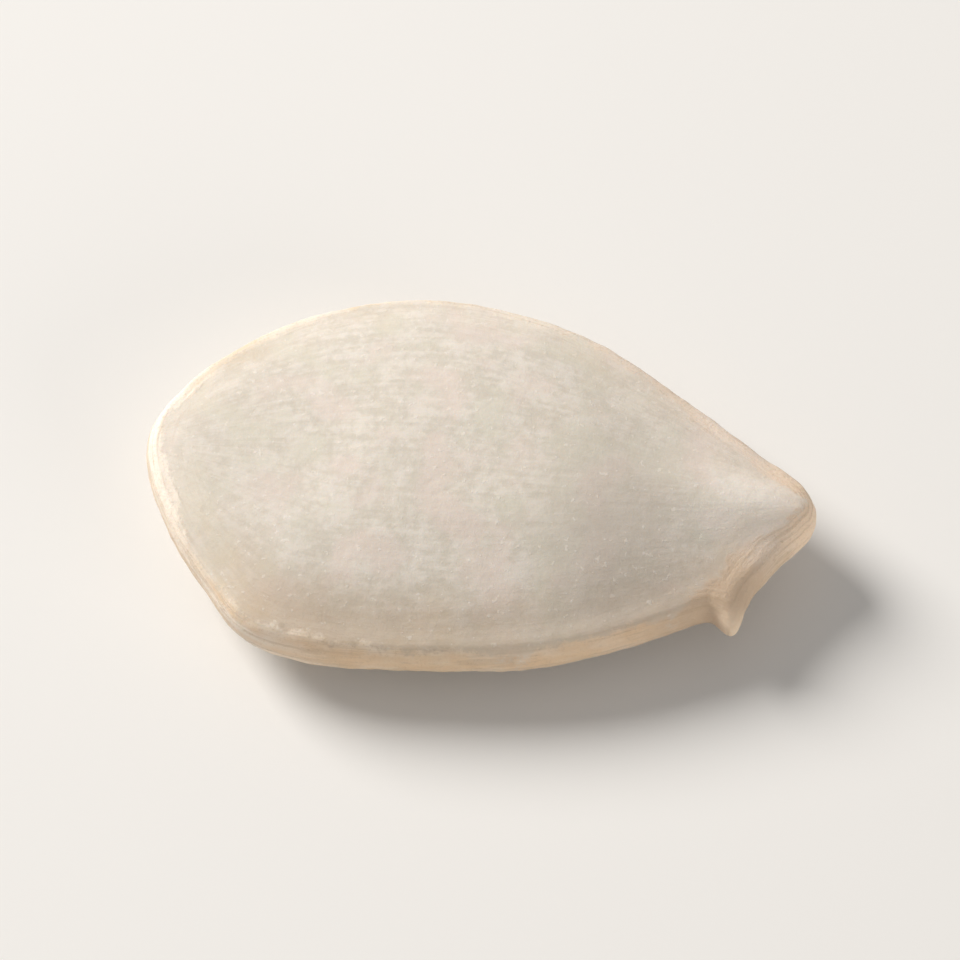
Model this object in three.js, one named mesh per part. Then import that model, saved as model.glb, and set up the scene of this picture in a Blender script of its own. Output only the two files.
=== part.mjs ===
// Winter melon seed: one dried seed, blunt at one end and pointed at the other, lying on its flatter face.
// The pointed end carries a blunt beak and, beside it, the small scar bump where the seed hung in the fruit.
// Millimetres, +Z up, +X towards the beak. The origin is on the resting surface, under the outline's middle.

import * as THREE from "three";
import { mergeVertices } from "three/addons/utils/BufferGeometryUtils.js";

// Driving dimensions
const LENGTH = 12;
const WIDTH = 7.5;
const UPPER_RISE = 1.24; // from the seam to the top of the upper face
const LOWER_RISE = 1.1; // from the seam to the lowest point of the lower face
const MARGIN_HALF = 0.42; // half the height of the blunt margin
const MARGIN_ROUND = 0.15; // how far the margin draws in at its two shoulders
const SEAM_KEEL = 0.04; // how far the seam stands out round the margin
const REST_FLAT = 0.045; // how much the resting spot takes off the lower face

// The bead that runs just inside the margin on both faces, and the furrow inside it
const BEAD = { inset: 0.2, half: 0.14, height: 0.015 };
const FURROW = { inset: 0.48, half: 0.2, height: -0.022 };

// The rounded ridge that runs from the beak on to each face, and the hollow beside it, towards the scar bump
const BEAK_RIDGE = { across: -0.08, half: 0.52, height: 0.16, from: 2.6, to: 4.9 };
const BEAK_HOLLOW = { across: -1.05, half: 0.5, height: -0.1, from: 2.8, to: 4.4 };
const BEAK_INSET = 0.6; // they reach their full height this far inside the margin

// The scar bump: the outline is pushed out round this place, most of all at the seam
const BUMP = { x: 4.42, y: -2.55, half: 0.26, pushX: 0.05, pushY: -0.63, shoulderShare: 0.58 };

// The shallow waves of a dried shell, in radians for each millimetre. They fade out towards the margin, and
// towards the middle of each face, where the seed rests.
const WAVES = [
  { height: 0.028, alongX: 0.95, alongY: 0.8, phase: 0.6 },
  { height: 0.02, alongX: -0.8, alongY: 1.7, phase: 2.1 },
];
const WAVE_INSET = [0.3, 1.6];
const WAVE_SHARE = [0.25, 0.6];
const END_LIFT = 0.14; // how much the seam rises towards both ends
const TWIST = 0.05; // how much the seam rises and falls at the corners of the outline
const DOME_POWER = 2.5;

// Mesh fineness: a square patch in the middle of each face, and rings of cells from it to the seam
const PATCH_CELLS = 28;
const FACE_RINGS = 11;
const MARGIN_RINGS = 2;
const INNER_RING = 0.4; // the patch's size as a share of the outline
const RING_CROWDING = 1.5; // 1 spaces the rings evenly, more crowds them at the margin
const SHAPE_FADE = 1.5; // more keeps the true outline's shape nearer to the margin
const TIP_CROWDING = 0.55; // 0 spaces the cells evenly round the outline, more crowds them at the notch
const TIP_TURN = 0.92;
const EVENED_REACH = 0.1;
const EVENED_SAMPLES = 21;
const OUTLINE_SAMPLES = 600;

const HALF_LENGTH = LENGTH / 2;
const HALF_WIDTH = WIDTH / 2;
const MIDDLE = new THREE.Vector2(-0.45, 0.05);
const BEAK_END = new THREE.Vector2(HALF_LENGTH, -0.85);

// The outline from above, from the beak's end round by the far side: two handles and the end of each curve
const OUTLINE_CURVES = [
  [HALF_LENGTH, -0.5, 5.82, -0.26, 5.6, -0.1], // the rounded beak
  [4.25, 0.88, 2.2, HALF_WIDTH, -1.05, HALF_WIDTH], // the far side, to its widest point
  [-3.3, HALF_WIDTH, -HALF_LENGTH, 1.95, -HALF_LENGTH, 0.55], // the blunt end
  [-HALF_LENGTH, -0.6, -5.08, -2, -4.6, -2.7], // its flatter quarter
  [-4.1, -3.75, -1.8, -HALF_WIDTH, -0.3, -HALF_WIDTH], // the near side, to its widest point
  [1.2, -HALF_WIDTH, 2.5, -3.4, 3.5, -2.95], // the near side, towards the scar bump
  [4.1, -2.68, 4.58, -2.48, 4.84, -2.24], // the stretch that carries the bump
  [5.08, -2, 5.24, -1.78, 5.46, -1.57], // the notch between bump and beak
  [5.68, -1.37, HALF_LENGTH, -1.16, BEAK_END.x, BEAK_END.y], // the underside of the beak
];

function drawOutline() {
  const path = new THREE.Path();
  path.moveTo(BEAK_END.x, BEAK_END.y);
  for (const curve of OUTLINE_CURVES) path.bezierCurveTo(...curve);
  return path;
}

const outline = drawOutline();
const wrap = (turn) => turn - Math.floor(turn);
const { lerp, smoothstep } = THREE.MathUtils;
const bell = (x, half) => Math.exp(-((x / half) ** 2));

// The point of the outline at a share of the way round, with the cells crowded at the tip
function outlineAt(turn) {
  const phase = 2 * Math.PI * (turn - TIP_TURN);
  return outline.getPoint(wrap(turn - (TIP_CROWDING * Math.sin(phase)) / (2 * Math.PI)));
}

// The outline with its beak and notch evened out, which the patch in the middle of each face follows
function evenedOutlineAt(turn) {
  const sum = new THREE.Vector2();
  for (let i = 0; i < EVENED_SAMPLES; i++) {
    const offset = (2 * i) / (EVENED_SAMPLES - 1) - 1;
    sum.add(outlineAt(turn + EVENED_REACH * offset));
  }
  return sum.divideScalar(EVENED_SAMPLES);
}

// How far a point lies inside the outline
const outlinePoints = outline.getSpacedPoints(OUTLINE_SAMPLES);
const insetOf = (point) => Math.min(...outlinePoints.map((edge) => edge.distanceTo(point)));

// Both ends lift a little from the resting surface, and the shell is slightly twisted
const seamHeight = (x, y) => END_LIFT * (x / HALF_LENGTH) ** 2 + (TWIST * x * y) / (HALF_LENGTH * HALF_WIDTH);

// The height of a face over the seam at a point that lies this share of the way from middle to margin
function faceHeight(point, share, rise) {
  const { x, y } = point;
  const inset = insetOf(point);
  const dome = (rise - MARGIN_HALF) * (1 - share ** DOME_POWER);
  const lines = [BEAD, FURROW].map((line) => line.height * bell(inset - line.inset, line.half));
  const axisY = lerp(MIDDLE.y, BEAK_END.y, x / HALF_LENGTH);
  const beak = [BEAK_RIDGE, BEAK_HOLLOW].map((form) => {
    const along = smoothstep(x, form.from, form.to) * smoothstep(inset, 0, BEAK_INSET);
    return form.height * along * bell(y - axisY - form.across, form.half);
  });
  const waving = smoothstep(inset, ...WAVE_INSET) * smoothstep(share, ...WAVE_SHARE);
  const waves = WAVES.map((wave) => {
    return wave.height * waving * Math.sin(wave.alongX * x + wave.alongY * y + wave.phase);
  });
  return [...lines, ...beak, ...waves].reduce((sum, height) => sum + height, MARGIN_HALF + dome);
}

// A point in plan, pushed out to form the scar bump
function pushed(point, share) {
  const amount = share * bell(Math.hypot(point.x - BUMP.x, point.y - BUMP.y), BUMP.half);
  return new THREE.Vector2(point.x + amount * BUMP.pushX, point.y + amount * BUMP.pushY);
}

// A point of the margin, at a height from -1 at its lower shoulder to 1 at its upper one
function marginPoint(edge, level) {
  const inset = level === 0 ? 0 : SEAM_KEEL + (MARGIN_ROUND - SEAM_KEEL) * Math.abs(level) ** 3;
  const share = lerp(1, BUMP.shoulderShare, level ** 2);
  const point = pushed(edge.clone().lerp(MIDDLE, inset / edge.distanceTo(MIDDLE)), share);
  return new THREE.Vector3(point.x, point.y, MARGIN_HALF * level + seamHeight(point.x, point.y));
}

// A point of a face, at a share of the way from the middle (0) to the shoulder of the margin (1)
function facePoint(turn, share, side) {
  const edge = outlineAt(turn);
  const shoulder = edge.clone().lerp(MIDDLE, MARGIN_ROUND / edge.distanceTo(MIDDLE));
  const followed = evenedOutlineAt(turn).lerp(shoulder, smoothstep(share, INNER_RING, 1) ** SHAPE_FADE);
  const planPoint = MIDDLE.clone().lerp(followed, share);
  const height = faceHeight(planPoint, share, side > 0 ? UPPER_RISE : LOWER_RISE);
  const point = pushed(planPoint, BUMP.shoulderShare);
  return new THREE.Vector3(point.x, point.y, side * height + seamHeight(point.x, point.y));
}

// How far round a square's edge the direction (u, v) points, from 0 to 1, starting at +u
function turnOf(u, v) {
  if (u === 0 && v === 0) return 0;
  if (Math.abs(u) >= Math.abs(v)) return wrap((u > 0 ? 0 : 0.5) + v / u / 8);
  return wrap((v > 0 ? 0.25 : 0.75) - u / v / 8);
}

// The point of the seed for a point of a cube from -1 to 1. The cube's top and bottom become the patch in the
// middle of each face, and its sides the rings: at mid-height the margin, and above and below it the faces.
function seedPoint(u, v, w) {
  const turn = turnOf(u, v);
  const side = Math.sign(w);
  if (Math.abs(w) === 1) return facePoint(turn, INNER_RING * Math.max(Math.abs(u), Math.abs(v)), side);
  const ring = Math.round(Math.abs(w) * (MARGIN_RINGS + FACE_RINGS));
  if (ring <= MARGIN_RINGS) return marginPoint(outlineAt(turn), (side * ring) / MARGIN_RINGS);
  const inward = ((ring - MARGIN_RINGS) / FACE_RINGS) ** RING_CROWDING;
  return facePoint(turn, lerp(1, INNER_RING, inward), side);
}

function seedGeometry() {
  const rings = 2 * (MARGIN_RINGS + FACE_RINGS);
  const cube = new THREE.BoxGeometry(2, 2, 2, PATCH_CELLS, PATCH_CELLS, rings);
  cube.deleteAttribute("normal");
  cube.deleteAttribute("uv");
  const geometry = mergeVertices(cube, 1e-5);
  const position = geometry.getAttribute("position");
  const tidy = (value) => Math.round(value * 1e4) / 1e4;
  for (let i = 0; i < position.count; i++) {
    const point = seedPoint(tidy(position.getX(i)), tidy(position.getY(i)), tidy(position.getZ(i)));
    position.setXYZ(i, point.x, point.y, point.z);
  }
  geometry.computeBoundingBox();
  const { min, max } = geometry.boundingBox;
  geometry.translate(-(min.x + max.x) / 2, -(min.y + max.y) / 2, -min.z - REST_FLAT);
  for (let i = 0; i < position.count; i++) position.setZ(i, Math.max(position.getZ(i), 0));
  geometry.computeVertexNormals();
  return geometry;
}

const shell = new THREE.MeshStandardMaterial({ color: 0xe4d7c0, roughness: 0.85, metalness: 0 });
const seed = new THREE.Mesh(seedGeometry(), shell);
seed.name = "seed";

const model = new THREE.Group();
model.add(seed);

export default model;
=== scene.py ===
# Winter melon seed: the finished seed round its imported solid, with its floor, lights and camera.
# Sizes in the dictionaries are millimetres. The seed is worked on in millimetres, then set to metres.

import math

import bpy
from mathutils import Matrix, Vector, noise
from mathutils.kdtree import KDTree


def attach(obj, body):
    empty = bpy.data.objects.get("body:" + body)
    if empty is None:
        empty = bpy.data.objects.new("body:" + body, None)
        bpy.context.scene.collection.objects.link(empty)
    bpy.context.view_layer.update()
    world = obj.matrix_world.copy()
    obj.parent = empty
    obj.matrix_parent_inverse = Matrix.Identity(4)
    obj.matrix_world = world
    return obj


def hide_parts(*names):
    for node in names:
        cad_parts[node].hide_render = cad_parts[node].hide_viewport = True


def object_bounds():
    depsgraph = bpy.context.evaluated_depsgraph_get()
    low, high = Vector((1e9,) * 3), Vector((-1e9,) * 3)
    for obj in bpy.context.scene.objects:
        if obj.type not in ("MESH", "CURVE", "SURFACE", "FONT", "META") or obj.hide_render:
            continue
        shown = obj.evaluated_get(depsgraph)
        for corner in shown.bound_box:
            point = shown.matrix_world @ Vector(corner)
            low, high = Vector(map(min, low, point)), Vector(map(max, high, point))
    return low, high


millimetre = 0.001
noiseMiddle = 0.5  # what a noise texture comes to on average
tiny = 0.001  # keeps a division clear of 0

print("load the frame")
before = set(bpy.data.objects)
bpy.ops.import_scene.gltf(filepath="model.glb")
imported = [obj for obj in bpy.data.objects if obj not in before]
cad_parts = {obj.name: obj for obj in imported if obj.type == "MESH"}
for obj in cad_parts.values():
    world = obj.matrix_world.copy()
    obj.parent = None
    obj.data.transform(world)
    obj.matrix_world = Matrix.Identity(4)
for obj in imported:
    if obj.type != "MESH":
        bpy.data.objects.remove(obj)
cadLow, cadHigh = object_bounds()
seedMiddle = (cadLow + cadHigh) / 2


# Shader wires

class Wire:
    def __init__(self, graph, socket):
        self.graph = graph
        self.socket = socket

    def maths(self, operation, first, second):
        return self.graph.add("ShaderNodeMath", {"operation": operation}, {0: first, 1: second})

    def __add__(self, other):
        return self.maths("ADD", self, other)

    def __radd__(self, other):
        return self.maths("ADD", other, self)

    def __sub__(self, other):
        return self.maths("SUBTRACT", self, other)

    def __rsub__(self, other):
        return self.maths("SUBTRACT", other, self)

    def __mul__(self, other):
        return self.maths("MULTIPLY", self, other)

    def __rmul__(self, other):
        return self.maths("MULTIPLY", other, self)


class Graph:
    def __init__(self, name):
        self.material = bpy.data.materials.new(name)
        self.material.use_nodes = True
        self.tree = self.material.node_tree
        self.shader = self.tree.nodes["Principled BSDF"]

    def add(self, kind, settings=None, values=None, out=0):
        node = self.tree.nodes.new(kind)
        for name, value in (settings or {}).items():
            setattr(node, name, value)
        for name, value in (values or {}).items():
            self.feed(node.inputs[name], value)
        return Wire(self, node.outputs[out])

    def feed(self, socket, value):
        if isinstance(value, Wire):
            self.tree.links.new(value.socket, socket)
        else:
            socket.default_value = value

    def attribute(self, name, out="Fac"):
        return self.add("ShaderNodeAttribute", {"attribute_name": name}, out=out)

    def noise(self, place, scale, detail, roughness=0.5):
        values = {"Vector": place, "Scale": scale, "Detail": detail, "Roughness": roughness}
        return self.add("ShaderNodeTexNoise", values=values)

    def blotches(self, place, size, detail, roughness=0.5):
        # size is the width of one blotch, in millimetres
        return self.noise(place, 1 / (size * millimetre), detail, roughness)

    def step(self, value, low, high, fromValue=0, toValue=1):
        # fromValue up to low, toValue from high on, and smooth between them
        settings = {"interpolation_type": "SMOOTHSTEP", "clamp": True}
        values = {"Value": value, "From Min": low, "From Max": high, "To Min": fromValue, "To Max": toValue}
        return self.add("ShaderNodeMapRange", settings, values)

    def zone(self, coordinate, low, high, fromValue=0, toValue=1):
        # a step between two places in millimetres, on a coordinate in metres
        return self.step(coordinate, low * millimetre, high * millimetre, fromValue, toValue)

    def mix(self, share, first, second):
        colours = [(*each, 1) if isinstance(each, tuple) else each for each in (first, second)]
        values = {"Factor": share, "A": colours[0], "B": colours[1]}
        return self.add("ShaderNodeMix", {"data_type": "RGBA"}, values, out="Result")

    def paint(self, base, coats):
        # one colour after the other over the base, each with its share
        for share, colour in coats:
            base = self.mix(share, base, colour)
        return base


def uneven(distance, pattern, amount):
    # a distance that a noise makes a little more or less from place to place
    return distance + (pattern - noiseMiddle) * amount


def weighted(patterns, weights):
    return sum(patterns[name] * weight for name, weight in weights.items())


# The finished seed's mesh

seedShape = {
    "mergeWithin": 0.0005,
    "toQuads": {"face": 60, "shape": 80},  # degrees
    "subdivisions": 2,
    "wallSlope": 0.35,  # the margin's wall is where the surface is this near to upright
    "wallInset": 0.05,  # a point this near to the wall's own points counts as on it
    "scarFrom": 0.68,  # the scar is past this share of the way to the beak
    "notchShare": 0.4,  # the notch is this share of the way from the scar to the beak
    "restFade": 0.06,  # the relief fades out this near to the resting spot's level
    # from broad hollows to fine grain
    "waves": [
        {"size": 2.3, "height": 0.05},
        {"size": 0.85, "height": 0.017},
        {"size": 0.32, "height": 0.0045},
    ],
    "waveShift": (7.3, 1.9),
    "fibres": {"length": 2.6, "count": 9, "height": 0.005, "inset": (0.2, 0.8), "faceShift": 4.5},
    "rimLumps": {"reach": 0.45, "fade": 0.3, "size": 0.24, "height": 0.016},
    "suture": {"slope": 0.16, "depth": 0.018},
    "creases": {
        "reach": 3.4,
        "fade": 2.4,
        "inset": (0.1, 0.55),
        "spacing": 0.2,
        "bend": 0.22,
        "rise": 0.3,
        "width": 0.4,
        "depth": 0.009,
    },
    # the beak's crest and the raised slope beside it, which the finish makes paler as painted light, by
    # their distance from the beak's end
    "softened": {"reach": 1.2, "fromScar": 0.32, "amount": 0.5, "times": 24},
    # the beak's crest and the pale slope beside it, by their distance from the beak's end
    "crest": {"across": -0.09, "half": 0.38, "height": 0.02, "from": 2.2, "to": 0.9},
    "liftedLitSlope": {"across": -0.62, "half": 0.5, "height": 0.04, "from": 2.9, "to": 1.4, "inset": (0.1, 0.5)},
    "grain": {"length": 1.1, "width": 0.1},  # the woody fibres that follow the margin
    "nicks": [
        {
            "x": -2.55, "y": 0.35, "turn": 12, "count": 3,
            "spacing": 0.3, "half": 0.055, "long": 0.3, "depth": 0.01,
        },
        {
            "x": -0.7, "y": -0.75, "turn": 24, "count": 2,
            "spacing": 0.26, "half": 0.05, "long": 0.22, "depth": 0.007,
        },
        {
            "x": 1.5, "y": 0.85, "turn": -8, "count": 2,
            "spacing": 0.34, "half": 0.06, "long": 0.2, "depth": 0.008,
        },
    ],
    "nickSlant": 0.6,  # each nick lies this share of the spacing further along than its neighbour
    "scarPit": {"radius": 0.06, "depth": 0.012},
    "beakPore": {"radius": 0.1, "depth": 0.025},
}

# where the thin grey film has worn off the shell
filmWear = {
    "farEdge": 0.4,
    "nearEdge": 0.16,
    "nearToFar": (-2.6, -0.4),  # between these places across the seed
    "corner": {"reach": 2.2, "extra": 0.04},
    "notch": {"reach": 1.7, "extra": 0.6},
    "tears": {"size": 1.3, "depth": 0.2, "shift": 3.1},
    "ragged": {"size": 0.3, "depth": 0.1, "shift": 4.1},
    "thickness": 0.009,
    "lip": 0.07,
}


def selectOnly(piece):
    bpy.ops.object.select_all(action="DESELECT")
    piece.select_set(True)
    bpy.context.view_layer.objects.active = piece


def copySolid(nodeName, pieceName):
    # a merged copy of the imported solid, in quads, in millimetres
    quads = seedShape["toQuads"]
    selectOnly(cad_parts[nodeName])
    bpy.ops.object.duplicate()
    piece = bpy.context.active_object
    piece.name = pieceName
    piece.data.name = pieceName
    piece.parent = None
    bpy.ops.object.mode_set(mode="EDIT")
    bpy.ops.mesh.select_all(action="SELECT")
    bpy.ops.transform.resize(value=(1 / millimetre,) * 3, center_override=(0, 0, 0))
    bpy.ops.mesh.remove_doubles(threshold=seedShape["mergeWithin"])
    bpy.ops.mesh.tris_convert_to_quads(
        face_threshold=math.radians(quads["face"]),
        shape_threshold=math.radians(quads["shape"]),
    )
    bpy.ops.mesh.normals_make_consistent(inside=False)
    bpy.ops.object.mode_set(mode="OBJECT")
    return piece


def refine(piece):
    modifier = piece.modifiers.new("Fineness", "SUBSURF")
    modifier.levels = modifier.render_levels = seedShape["subdivisions"]
    bpy.ops.object.modifier_apply(modifier=modifier.name)


def smoothStep(value, low, high):
    share = min(max((value - low) / (high - low), 0), 1)
    return share * share * (3 - 2 * share)


def bell(value, half):
    return math.exp(-((value / half) ** 2))


def marginTree(mesh):
    # the points of the margin's wall, to measure how far inside it each point lies
    wall = [v.co for v in mesh.vertices if abs(v.normal.z) < seedShape["wallSlope"]]
    tree = KDTree(len(wall))
    for index, place in enumerate(wall):
        tree.insert(place, index)
    tree.balance()
    return tree


def findEnds(mesh):
    # the seed's named places, found on its mesh
    places = [v.co for v in mesh.vertices]
    beak = max(places, key=lambda co: co.x).copy()
    pointed = [co for co in places if co.x > seedShape["scarFrom"] * beak.x]
    scar = min(pointed, key=lambda co: co.y).copy()
    return {
        "beak": beak,
        "blunt": min(places, key=lambda co: co.x).copy(),
        "scar": scar,
        "notch": scar.lerp(beak, seedShape["notchShare"]),
        "corner": min(places, key=lambda co: co.x + co.y).copy(),
    }


def softenNotch(piece, ends):
    # the shell is rounder between the scar and the beak than along the margin
    soft = seedShape["softened"]
    bpy.ops.object.mode_set(mode="EDIT")
    bpy.ops.mesh.select_mode(type="VERT")
    bpy.ops.mesh.select_all(action="DESELECT")
    bpy.ops.object.mode_set(mode="OBJECT")
    for vertex in piece.data.vertices:
        near = (vertex.co - ends["notch"]).length < soft["reach"]
        offScar = (vertex.co - ends["scar"]).length > soft["fromScar"]
        vertex.select = near and offScar and abs(vertex.normal.z) > seedShape["wallSlope"]
    bpy.ops.object.mode_set(mode="EDIT")
    bpy.ops.mesh.vertices_smooth(factor=soft["amount"], repeat=soft["times"])
    bpy.ops.object.mode_set(mode="OBJECT")


def filmField(place, inset, ends):
    # millimetres inside the edge of the thin grey film, below 0 where the shell is bare
    farSide = smoothStep(place.y, *filmWear["nearToFar"])
    edge = filmWear["nearEdge"] + (filmWear["farEdge"] - filmWear["nearEdge"]) * farSide
    for name in ("corner", "notch"):
        wear = filmWear[name]
        edge += wear["extra"] * smoothStep(wear["reach"] - (place - ends[name]).length, 0, wear["reach"])
    for name in ("tears", "ragged"):
        tear = filmWear[name]
        edge += tear["depth"] * noise.noise(place / tear["size"] + Vector((tear["shift"], 0, 0)))
    return inset - edge


def readSpot(vertex, tree, ends):
    # where a point of the mesh lies on the seed
    place = vertex.co.copy()
    beak = ends["beak"]
    wallPlace, _, inset = tree.find(place)
    axisSlope = (beak.y - ends["blunt"].y) / (beak.x - ends["blunt"].x)
    fromAxis = place.y - beak.y - axisSlope * (place.x - beak.x)
    return {
        "place": place,
        "normal": vertex.normal.copy(),
        "wallPlace": wallPlace,
        "inset": inset,
        "side": 1 if vertex.normal.z > 0 else -1,
        "fromAxis": fromAxis,
        "across": fromAxis / (abs(fromAxis) + inset + tiny),
        "film": filmField(place, inset, ends),
    }


def nickDepth(place):
    # short parallel grooves, as old scratches
    depth = 0
    for nick in seedShape["nicks"]:
        turn = math.radians(nick["turn"])
        x = place.x - nick["x"]
        y = place.y - nick["y"]
        along = x * math.cos(turn) + y * math.sin(turn)
        across = y * math.cos(turn) - x * math.sin(turn)
        for number in range(nick["count"]):
            offset = (number - (nick["count"] - 1) / 2) * nick["spacing"]
            slid = along + offset * seedShape["nickSlant"]
            depth += nick["depth"] * bell(across - offset, nick["half"]) * bell(slid, nick["long"])
    return depth


def creaseDepth(place, inset, ends):
    # creases of the dried shell that run together at the beak
    crease = seedShape["creases"]
    away = place - ends["beak"]
    distance = math.hypot(away.x, away.y)
    angle = math.atan2(away.y, -away.x)
    bent = Vector((angle / crease["spacing"], distance * crease["bend"], place.z * crease["rise"]))
    lines = abs(noise.noise(bent))
    amount = smoothStep(crease["reach"] - distance, 0, crease["fade"]) * smoothStep(inset, *crease["inset"])
    return crease["depth"] * amount * max(0, 1 - lines / crease["width"])


def ridgeShare(spot, ends, name):
    # 1 along the middle of the beak's crest, or of the slope beside it that gets painted light
    form = seedShape[name]
    along = smoothStep(ends["beak"].x - spot["place"].x, form["from"], form["to"])
    within = smoothStep(spot["inset"], *form["inset"]) if "inset" in form else 1
    return along * within * bell(spot["fromAxis"] - form["across"], form["half"])


def sutureShare(spot):
    # 1 on the seam that runs round the margin's wall
    if spot["inset"] < seedShape["wallInset"]:
        return bell(spot["normal"].z, seedShape["suture"]["slope"])
    return 0


def relief(spot, ends):
    # how far the surface stands out from the smooth form
    shape = seedShape
    place = spot["place"]
    inset = spot["inset"]
    height = 0
    shiftX, shiftY = shape["waveShift"]
    for number, wave in enumerate(shape["waves"]):
        shifted = place / wave["size"] + Vector((shiftX * number, shiftY, 0))
        height += wave["height"] * noise.noise(shifted)
    fibres = shape["fibres"]
    faceShift = spot["side"] * fibres["faceShift"]
    strand = Vector((place.x / fibres["length"], spot["across"] * fibres["count"], faceShift))
    height += fibres["height"] * noise.noise(strand) * smoothStep(inset, *fibres["inset"])
    lumps = shape["rimLumps"]
    lumpShare = smoothStep(lumps["reach"] - inset, 0, lumps["fade"])
    height += lumps["height"] * noise.noise(place / lumps["size"]) * lumpShare
    for name in ("crest", "liftedLitSlope"):
        height += shape[name]["height"] * ridgeShare(spot, ends, name) * (spot["side"] > 0)
    height -= creaseDepth(place, inset, ends)
    if spot["side"] > 0:
        height -= nickDepth(place)
    height -= shape["suture"]["depth"] * sutureShare(spot)
    height += filmWear["thickness"] * smoothStep(spot["film"], -filmWear["lip"], filmWear["lip"])
    for name, pitted in (("scarPit", "scar"), ("beakPore", "beak")):
        pit = shape[name]
        height -= pit["depth"] * bell((place - ends[pitted]).length, pit["radius"])
    return height


def writeLayers(mesh, spots, ends):
    # what the finish reads at each point
    layers = {
        "inset": [spot["inset"] for spot in spots],
        "across": [spot["across"] for spot in spots],
        "film": [spot["film"] for spot in spots],
        "scar": [(spot["place"] - ends["scar"]).length for spot in spots],
        "beak": [(spot["place"] - ends["beak"]).length for spot in spots],
        "crest": [ridgeShare(spot, ends, "crest") for spot in spots],
        "liftedLitSlope": [ridgeShare(spot, ends, "liftedLitSlope") for spot in spots],
        "seam": [sutureShare(spot) for spot in spots],
    }
    for name, values in layers.items():
        mesh.attributes.new(name, "FLOAT", "POINT").data.foreach_set("value", values)
    grain = seedShape["grain"]
    grainPlaces = []
    for spot in spots:
        roundX = spot["wallPlace"].x / grain["length"]
        roundY = spot["wallPlace"].y / grain["length"]
        fromSeam = spot["inset"] + abs(spot["place"].z - ends["beak"].z)
        grainPlaces += [roundX, roundY, fromSeam / grain["width"]]
    mesh.attributes.new("grain", "FLOAT_VECTOR", "POINT").data.foreach_set("vector", grainPlaces)


def shapeSeed():
    piece = copySolid("seed", "melonSeed")
    refine(piece)
    mesh = piece.data
    floorLevel = min(v.co.z for v in mesh.vertices)
    ends = findEnds(mesh)
    softenNotch(piece, ends)
    tree = marginTree(mesh)
    spots = [readSpot(vertex, tree, ends) for vertex in mesh.vertices]
    for vertex, spot in zip(mesh.vertices, spots):
        rested = smoothStep(spot["place"].z - floorLevel, 0, seedShape["restFade"])
        vertex.co = (spot["place"] + spot["normal"] * relief(spot, ends) * rested) * millimetre
        vertex.co.z = max(vertex.co.z, 0)
    writeLayers(mesh, spots, ends)
    mesh.update()
    selectOnly(piece)
    bpy.ops.object.shade_smooth()
    return piece


# The seed's finish

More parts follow.
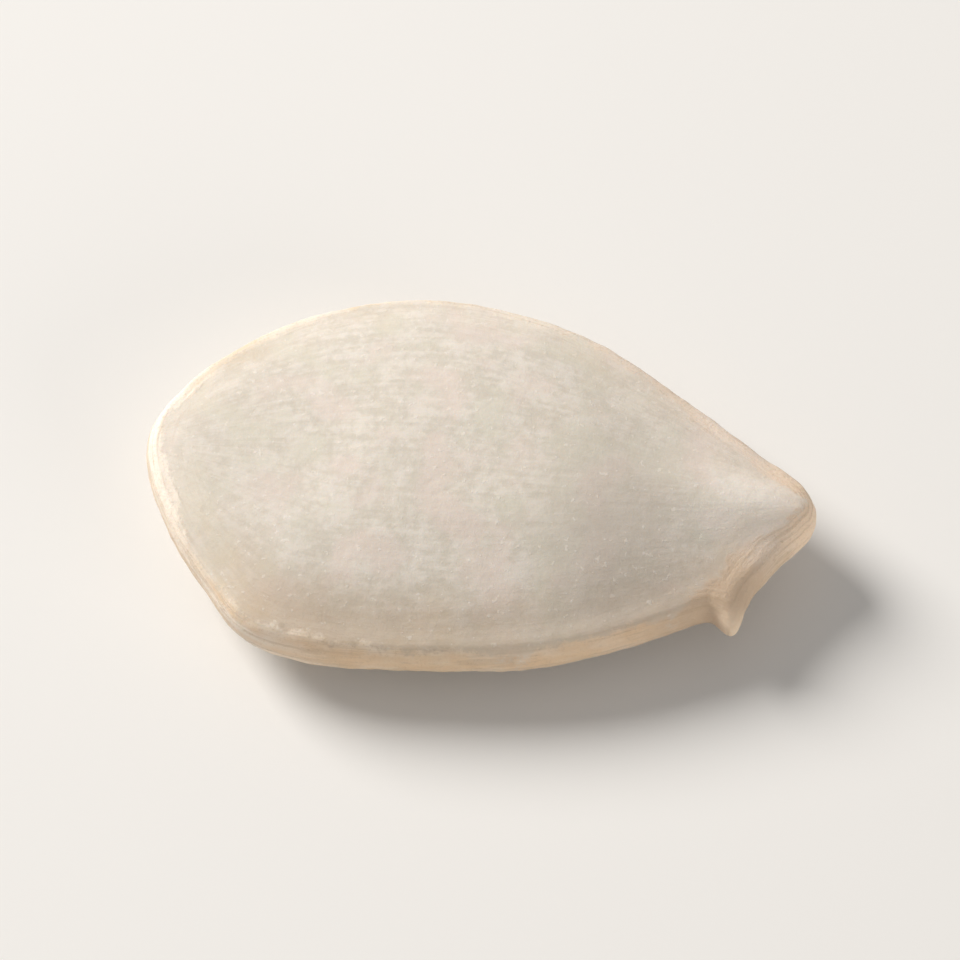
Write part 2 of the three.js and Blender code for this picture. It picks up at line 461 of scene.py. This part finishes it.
seedFinish = {
    "colours": {
        "shellDeep": (0.76, 0.635, 0.475),
        "shellPale": (0.88, 0.79, 0.685),
        "shellRose": (0.80, 0.66, 0.555),
        # tan of the margin and its seam, also used as painted shade on the near wall
        "marginTanAndShade": (0.79, 0.58, 0.385),
        "wallCream": (0.75, 0.655, 0.53),
        "notchTan": (0.63, 0.475, 0.34),
        # painted highlight for the rim at the blunt end
        "rimHighlight": (0.95, 0.86, 0.765),
        # the tip's pink, made bright as painted bounce light on its shaded underside
        "tipPinkAndBounce": (0.95, 0.745, 0.565),
        "filmGrey": (0.655, 0.602, 0.522),
        "filmPale": (0.785, 0.73, 0.66),
        # the film's darker tone: painted shade in the hollow before the beak, and the darker blunt end
        "filmDarker": (0.50, 0.445, 0.385),
        "filmRose": (0.77, 0.665, 0.60),
        "filmSage": (0.69, 0.66, 0.555),
        "crestWhite": (0.925, 0.865, 0.798),
        # colour of the painted shade on the near shoulder
        "shoulderTan": (0.515, 0.388, 0.265),
        "grainBrown": (0.56, 0.42, 0.28),
        "scarTan": (0.60, 0.40, 0.235),
        "barbTan": (0.93, 0.74, 0.56),
        "speck": (0.45, 0.37, 0.28),
    },
    "blotches": {
        "broad": {"size": 2.2, "detail": 2},
        "blotch": {"size": 0.8, "detail": 4, "roughness": 0.6},
        "chalk": {"size": 0.17, "detail": 5, "roughness": 0.6},
        "grit": {"size": 0.055, "detail": 3, "roughness": 0.65},
        "cloud": {"size": 0.5, "detail": 2},
        "rosy": {"size": 1.15, "detail": 2},
        "sage": {"size": 1.3, "detail": 2},
        "flake": {"size": 0.12, "detail": 2},
    },
    "strands": {"length": 1.5, "count": 34, "detail": 3},
    "grainDetail": 4,
    "speckSpacing": 0.8,
    "shellTone": {"blotch": 0.35, "broad": 0.3, "grain": 0.35},
    "filmTone": {"chalk": 0.45, "strands": 0.25, "cloud": 0.3},
    # along the seed, or for the near side across it: from one place to another, and from one share to
    # another where these aren't 0 and 1
    "zones": {
        "nearSide": (1.2, -3.2),
        "towardsBeak": (0.6, 3.3),
        "towardsBlunt": (-2.2, -4.6),
        "bluntRimHighlight": (-4.6, -5.6),
        "cornerWall": (-4.3, -2.9, 0.85, 0),
        "hollowBegins": (0.2, 2.4),
        "hollowEnds": (2.7, 4.1, 1, 0.35),
        "nearShadeBegins": (-5.0, -3.6, 0.15, 1),
        "nearShadeFades": (-3.4, 3.4, 0.85, 0.3),
    },
    # the same for a noise, or for how far inside the margin or film or from the scar or beak a point lies
    "steps": {
        "shellTone": (0.4, 0.56),
        "wall": (0.02, 0.4, 1, 0),
        "wallBlotches": (0.3, 0.7, 0.95, 0.45),
        "steep": (0, 0.12, 1, 0),
        "nearScar": (0.7, 1.9, 0.9, 0),
        "nearBeak": (0.5, 1.3, 0.95, 0),
        "grainStreaks": (0.5, 0.64),
        "gritStreaks": (0.54, 0.66),
        "filmTone": (0.4, 0.6),
        "rosy": (0.48, 0.64),
        "sage": (0.47, 0.36),
        "hollow": (0.2, 2.2, 0.42, 1),
        "offWall": (0.02, 0.1),
        "shoulder": (0.2, 1.75, 1, 0),
        "crestChalk": (0.3, 0.6, 0.7, 1),
        "covered": (-0.06, 0.1),
        "dense": (0, 0.9, 0.62, 0.94),
        "flakes": (0.64, 0.72),
        "speck": (0.05, 0.09, 1, 0),
        "speckPlaces": (0.5, 0.6),
        "barb": (0.15, 0.6, 1, 0),
        "pore": (0.04, 0.2, 1, 0),
    },
    # how much a noise shifts the edge of a step
    "ragged": {
        "nearScar": 0.8,
        "nearBeak": 0.5,
        "shoulder": 0.4,
        "filmGrit": 0.2,
        "filmChalk": 0.4,
        "dense": 0.9,
        "speck": 0.2,
        "barb": 0.2,
        "pore": 0.2,
    },
    # how much of its colour each part gets at most
    "amounts": {
        "shellRose": 0.7,
        "wallCream": 0.8,
        "rimHighlight": 0.7,
        "seam": 0.5,
        "grainStreaks": 0.3,
        "wallStreaks": 0.1,
        "gritStreaks": 0.25,
        "filmRose": 0.62,
        "filmSage": 0.5,
        "hollow": 0.22,
        "nearHollowShade": 0.8,
        "bluntDarkening": 0.18,
        "liftedLitSlope": 0.42,
        "flakes": 0.3,
        "speck": 0.3,
        "barb": 0.75,
        "pore": 0.2,
    },
    "roughness": {"least": 0.52, "chalk": 0.16, "film": 0.2},
    "filmRelief": {"chalk": 0.5, "grit": 0.25, "strands": 0.2, "covered": 0.2, "flakes": 0.12},
    "shellRelief": {"grain": 0.9, "grit": 0.3},
    "reliefDepth": 0.022,
    "subsurface": 0.15,
    "subsurfaceReach": 0.45,
    "subsurfaceColours": (1.0, 0.7, 0.45),
    "specular": 0.35,
}


def finishSeed(piece):
    look = seedFinish
    colours = look["colours"]
    zones = look["zones"]
    steps = look["steps"]
    ragged = look["ragged"]
    amounts = look["amounts"]
    graph = Graph("driedShell")
    place = graph.add("ShaderNodeTexCoord", out="Object")
    alongSeed = graph.add("ShaderNodeSeparateXYZ", values={"Vector": place}, out="X")
    acrossSeed = graph.add("ShaderNodeSeparateXYZ", values={"Vector": place}, out="Y")
    inset = graph.attribute("inset")
    field = graph.attribute("film")
    scar = graph.attribute("scar")
    beak = graph.attribute("beak")

    patterns = {name: graph.blotches(place, **pattern) for name, pattern in look["blotches"].items()}
    blotch = patterns["blotch"]
    chalk = patterns["chalk"]
    grit = patterns["grit"]
    strands = look["strands"]
    strandPlace = graph.add("ShaderNodeCombineXYZ", values={
        "X": alongSeed * (1 / (strands["length"] * millimetre)),
        "Y": graph.attribute("across") * strands["count"],
    })
    patterns["strands"] = graph.noise(strandPlace, 1, strands["detail"])
    grain = graph.noise(graph.attribute("grain", out="Vector"), 1, look["grainDetail"])
    patterns["grain"] = grain

    # bare shell: cream, deeper in blotches and fibres, tan along the margin on the scar's side and darker
    # there as painted shade, and paler on the blunt end's rim as a painted highlight
    nearSide = graph.zone(acrossSeed, *zones["nearSide"])
    towardsBeak = graph.zone(alongSeed, *zones["towardsBeak"])
    wall = graph.step(inset, *steps["wall"])
    # painted shade: the margin's wall on the near side, turned away from the key lamp, is darker and warmer
    # tan
    nearWallShade = wall * nearSide * graph.step(blotch, *steps["wallBlotches"])
    steep = graph.step(inset, *steps["steep"])
    # painted highlight: the rim at the blunt end, which faces the key lamp, is paler
    bluntRimHighlight = graph.zone(alongSeed, *zones["bluntRimHighlight"]) * (1 - steep)
    cornerWall = steep * nearSide * graph.zone(alongSeed, *zones["cornerWall"])
    nearScar = graph.step(uneven(scar, blotch, ragged["nearScar"]), *steps["nearScar"])
    nearBeak = graph.step(uneven(beak, blotch, ragged["nearBeak"]), *steps["nearBeak"])
    grainShare = amounts["grainStreaks"] + steep * amounts["wallStreaks"]
    streaks = graph.step(grain, *steps["grainStreaks"]) * grainShare
    streaks = streaks + graph.step(grit, *steps["gritStreaks"]) * amounts["gritStreaks"]
    shellTone = graph.step(weighted(patterns, look["shellTone"]), *steps["shellTone"])
    shell = graph.paint(graph.mix(shellTone, colours["shellDeep"], colours["shellPale"]), [
        (towardsBeak * amounts["shellRose"], colours["shellRose"]),
        (nearWallShade, colours["marginTanAndShade"]),
        (steep * (1 - nearSide) * amounts["wallCream"], colours["wallCream"]),
        (bluntRimHighlight * amounts["rimHighlight"], colours["rimHighlight"]),
        (cornerWall, colours["shellPale"]),
        (graph.attribute("seam") * amounts["seam"], colours["marginTanAndShade"]),
        (nearScar, colours["notchTan"]),
        # the beak's tip is pink, and brighter than the shell as painted light for the bounce that its
        # shaded underside lacks
        (nearBeak, colours["tipPinkAndBounce"]),
        (streaks, colours["grainBrown"]),
    ])

    # film: greyish white and chalky, in places a little pink or green, with painted shade in the hollow
    # before the beak and on the near shoulder, darker at the blunt end, painted light on the slope beside
    # the beak's crest, and whitest on the beak's crest
    rosy = graph.step(patterns["rosy"], *steps["rosy"])
    sage = graph.step(patterns["sage"], *steps["sage"])
    # painted shade: the film is darker in the hollow before the beak, most on the near side; it is also
    # darker towards the blunt end
    hollow = graph.zone(alongSeed, *zones["hollowBegins"]) * graph.zone(alongSeed, *zones["hollowEnds"])
    hollow = hollow * (amounts["hollow"] + nearSide * amounts["nearHollowShade"])
    hollow = hollow * graph.step(inset, *steps["hollow"])
    hollowShadeAndDarkEnd = hollow + graph.zone(alongSeed, *zones["towardsBlunt"]) * amounts["bluntDarkening"]
    # painted shade: a dark warm band on the near shoulder, where the face turns away from the key lamp
    shoulder = graph.step(uneven(inset, blotch, ragged["shoulder"]), *steps["shoulder"])
    shoulder = graph.step(inset, *steps["offWall"]) * shoulder
    shadedNearSide = nearSide * graph.zone(alongSeed, *zones["nearShadeFades"])
    shadedNearSide = shadedNearSide * graph.zone(alongSeed, *zones["nearShadeBegins"])
    crestShare = graph.attribute("crest") * graph.step(chalk, *steps["crestChalk"])
    filmTone = graph.step(weighted(patterns, look["filmTone"]), *steps["filmTone"])
    film = graph.paint(graph.mix(filmTone, colours["filmGrey"], colours["filmPale"]), [
        (rosy * amounts["filmRose"], colours["filmRose"]),
        (sage * amounts["filmSage"], colours["filmSage"]),
        (hollowShadeAndDarkEnd, colours["filmDarker"]),
        (shoulder * shadedNearSide, colours["shoulderTan"]),
        # painted light: the slope beside the beak's crest, which the form turns from the key lamp, is paler
        (graph.attribute("liftedLitSlope") * amounts["liftedLitSlope"], colours["crestWhite"]),
        (crestShare, colours["crestWhite"]),
    ])

    # the film wears thin towards its edge, and ends in crumbs
    torn = uneven(uneven(field, grit, ragged["filmGrit"]), chalk, ragged["filmChalk"])
    covered = graph.step(torn, *steps["covered"])
    dense = graph.step(uneven(field, blotch, ragged["dense"]), *steps["dense"])

    # pale crumbs, a few dull specks, the scar's pale barb and the beak's pore
    flakes = graph.step(patterns["flake"], *steps["flakes"])
    cells = {"Vector": place, "Scale": 1 / (look["speckSpacing"] * millimetre)}
    cell = graph.add("ShaderNodeTexVoronoi", values=cells, out="Distance")
    speck = graph.step(uneven(cell, grit, ragged["speck"]), *steps["speck"])
    speck = speck * graph.step(patterns["broad"], *steps["speckPlaces"])
    barb = graph.step(uneven(scar, blotch, ragged["barb"]), *steps["barb"])
    pore = graph.step(uneven(beak, chalk, ragged["pore"]), *steps["pore"])
    colour = graph.paint(graph.mix(covered * dense, shell, film), [
        (flakes * covered * amounts["flakes"], colours["crestWhite"]),
        (speck * amounts["speck"], colours["speck"]),
        (barb * amounts["barb"], colours["barbTan"]),
        (pore * amounts["pore"], colours["scarTan"]),
    ])

    patterns["covered"] = covered
    patterns["flakes"] = flakes
    woody = (1 - covered) * weighted(patterns, look["shellRelief"])
    height = weighted(patterns, look["filmRelief"]) + woody
    depth = look["reliefDepth"] * millimetre
    bump = graph.add("ShaderNodeBump", values={"Height": height, "Strength": 1, "Distance": depth})
    rough = look["roughness"]
    settings = {
        "Base Color": colour,
        "Roughness": rough["least"] + rough["chalk"] * chalk + covered * rough["film"],
        "Normal": bump,
        "Subsurface Weight": look["subsurface"],
        "Subsurface Radius": look["subsurfaceColours"],
        "Subsurface Scale": look["subsurfaceReach"] * millimetre,
        "Specular IOR Level": look["specular"],
    }
    for name, value in settings.items():
        graph.feed(graph.shader.inputs[name], value)
    piece.data.materials.clear()
    piece.data.materials.append(graph.material)


print("shape the seed")
seed = shapeSeed()
print("colour the seed")
finishSeed(seed)
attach(seed, "root")
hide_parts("seed")


# Floor, lights and camera

stage = {
    "floorSize": 3000,
    "floorColour": (0.87, 0.86, 0.845),
    "floorRoughness": 0.9,
    "worldColour": (0.95, 0.94, 0.925),
    "worldStrength": 0.3,
    "lens": 180,
    "sensor": 36,
    "elevation": 60,
    "azimuth": 0,
    "seedShare": 0.7,  # how much of the picture's width the seed takes
    "clip": (5, 5000),
}

lamps = [
    {"name": "keyWindow", "from": (-197, 147, 172), "size": 160, "watts": 1.08, "colour": (1, 0.965, 0.92)},
    {"name": "lowFill", "from": (190, -175, 60), "size": 160, "watts": 0.2, "colour": (1, 0.95, 0.88)},
]


def makeFloor():
    bpy.ops.object.select_all(action="DESELECT")
    bpy.ops.mesh.primitive_plane_add(size=stage["floorSize"] * millimetre, location=(0, 0, 0))
    floor = bpy.context.active_object
    floor.name = "paleFloor"
    graph = Graph("floorPaper")
    graph.feed(graph.shader.inputs["Base Color"], (*stage["floorColour"], 1))
    graph.feed(graph.shader.inputs["Roughness"], stage["floorRoughness"])
    floor.data.materials.append(graph.material)


def makeLamps():
    for lamp in lamps:
        start = Vector(lamp["from"]) * millimetre
        turn = (seedMiddle - start).to_track_quat("-Z", "Y").to_euler()
        bpy.ops.object.light_add(type="AREA", location=start, rotation=turn)
        light = bpy.context.active_object
        light.name = lamp["name"]
        light.data.shape = "DISK"
        light.data.size = lamp["size"] * millimetre
        light.data.energy = lamp["watts"]
        light.data.color = lamp["colour"]
    world = bpy.data.worlds.new("studioAir")
    world.use_nodes = True
    background = world.node_tree.nodes["Background"]
    background.inputs["Color"].default_value = (*stage["worldColour"], 1)
    background.inputs["Strength"].default_value = stage["worldStrength"]
    bpy.context.scene.world = world


def makeCamera():
    length = cadHigh.x - cadLow.x
    distance = length / stage["seedShare"] / stage["sensor"] * stage["lens"]
    tilt = math.radians(stage["elevation"])
    turn = math.radians(stage["azimuth"])
    back = Vector((math.sin(turn) * math.cos(tilt), -math.cos(turn) * math.cos(tilt), math.sin(tilt)))
    start = seedMiddle + back * distance
    bpy.ops.object.camera_add(location=start, rotation=(-back).to_track_quat("-Z", "Y").to_euler())
    camera = bpy.context.active_object
    camera.name = "mainCamera"
    camera.data.lens = stage["lens"]
    camera.data.sensor_width = stage["sensor"]
    camera.data.clip_start, camera.data.clip_end = (edge * millimetre for edge in stage["clip"])
    bpy.context.scene.camera = camera


print("set the stage")
makeFloor()
makeLamps()
makeCamera()
bpy.context.scene.view_settings.view_transform = "Standard"

print("finish")
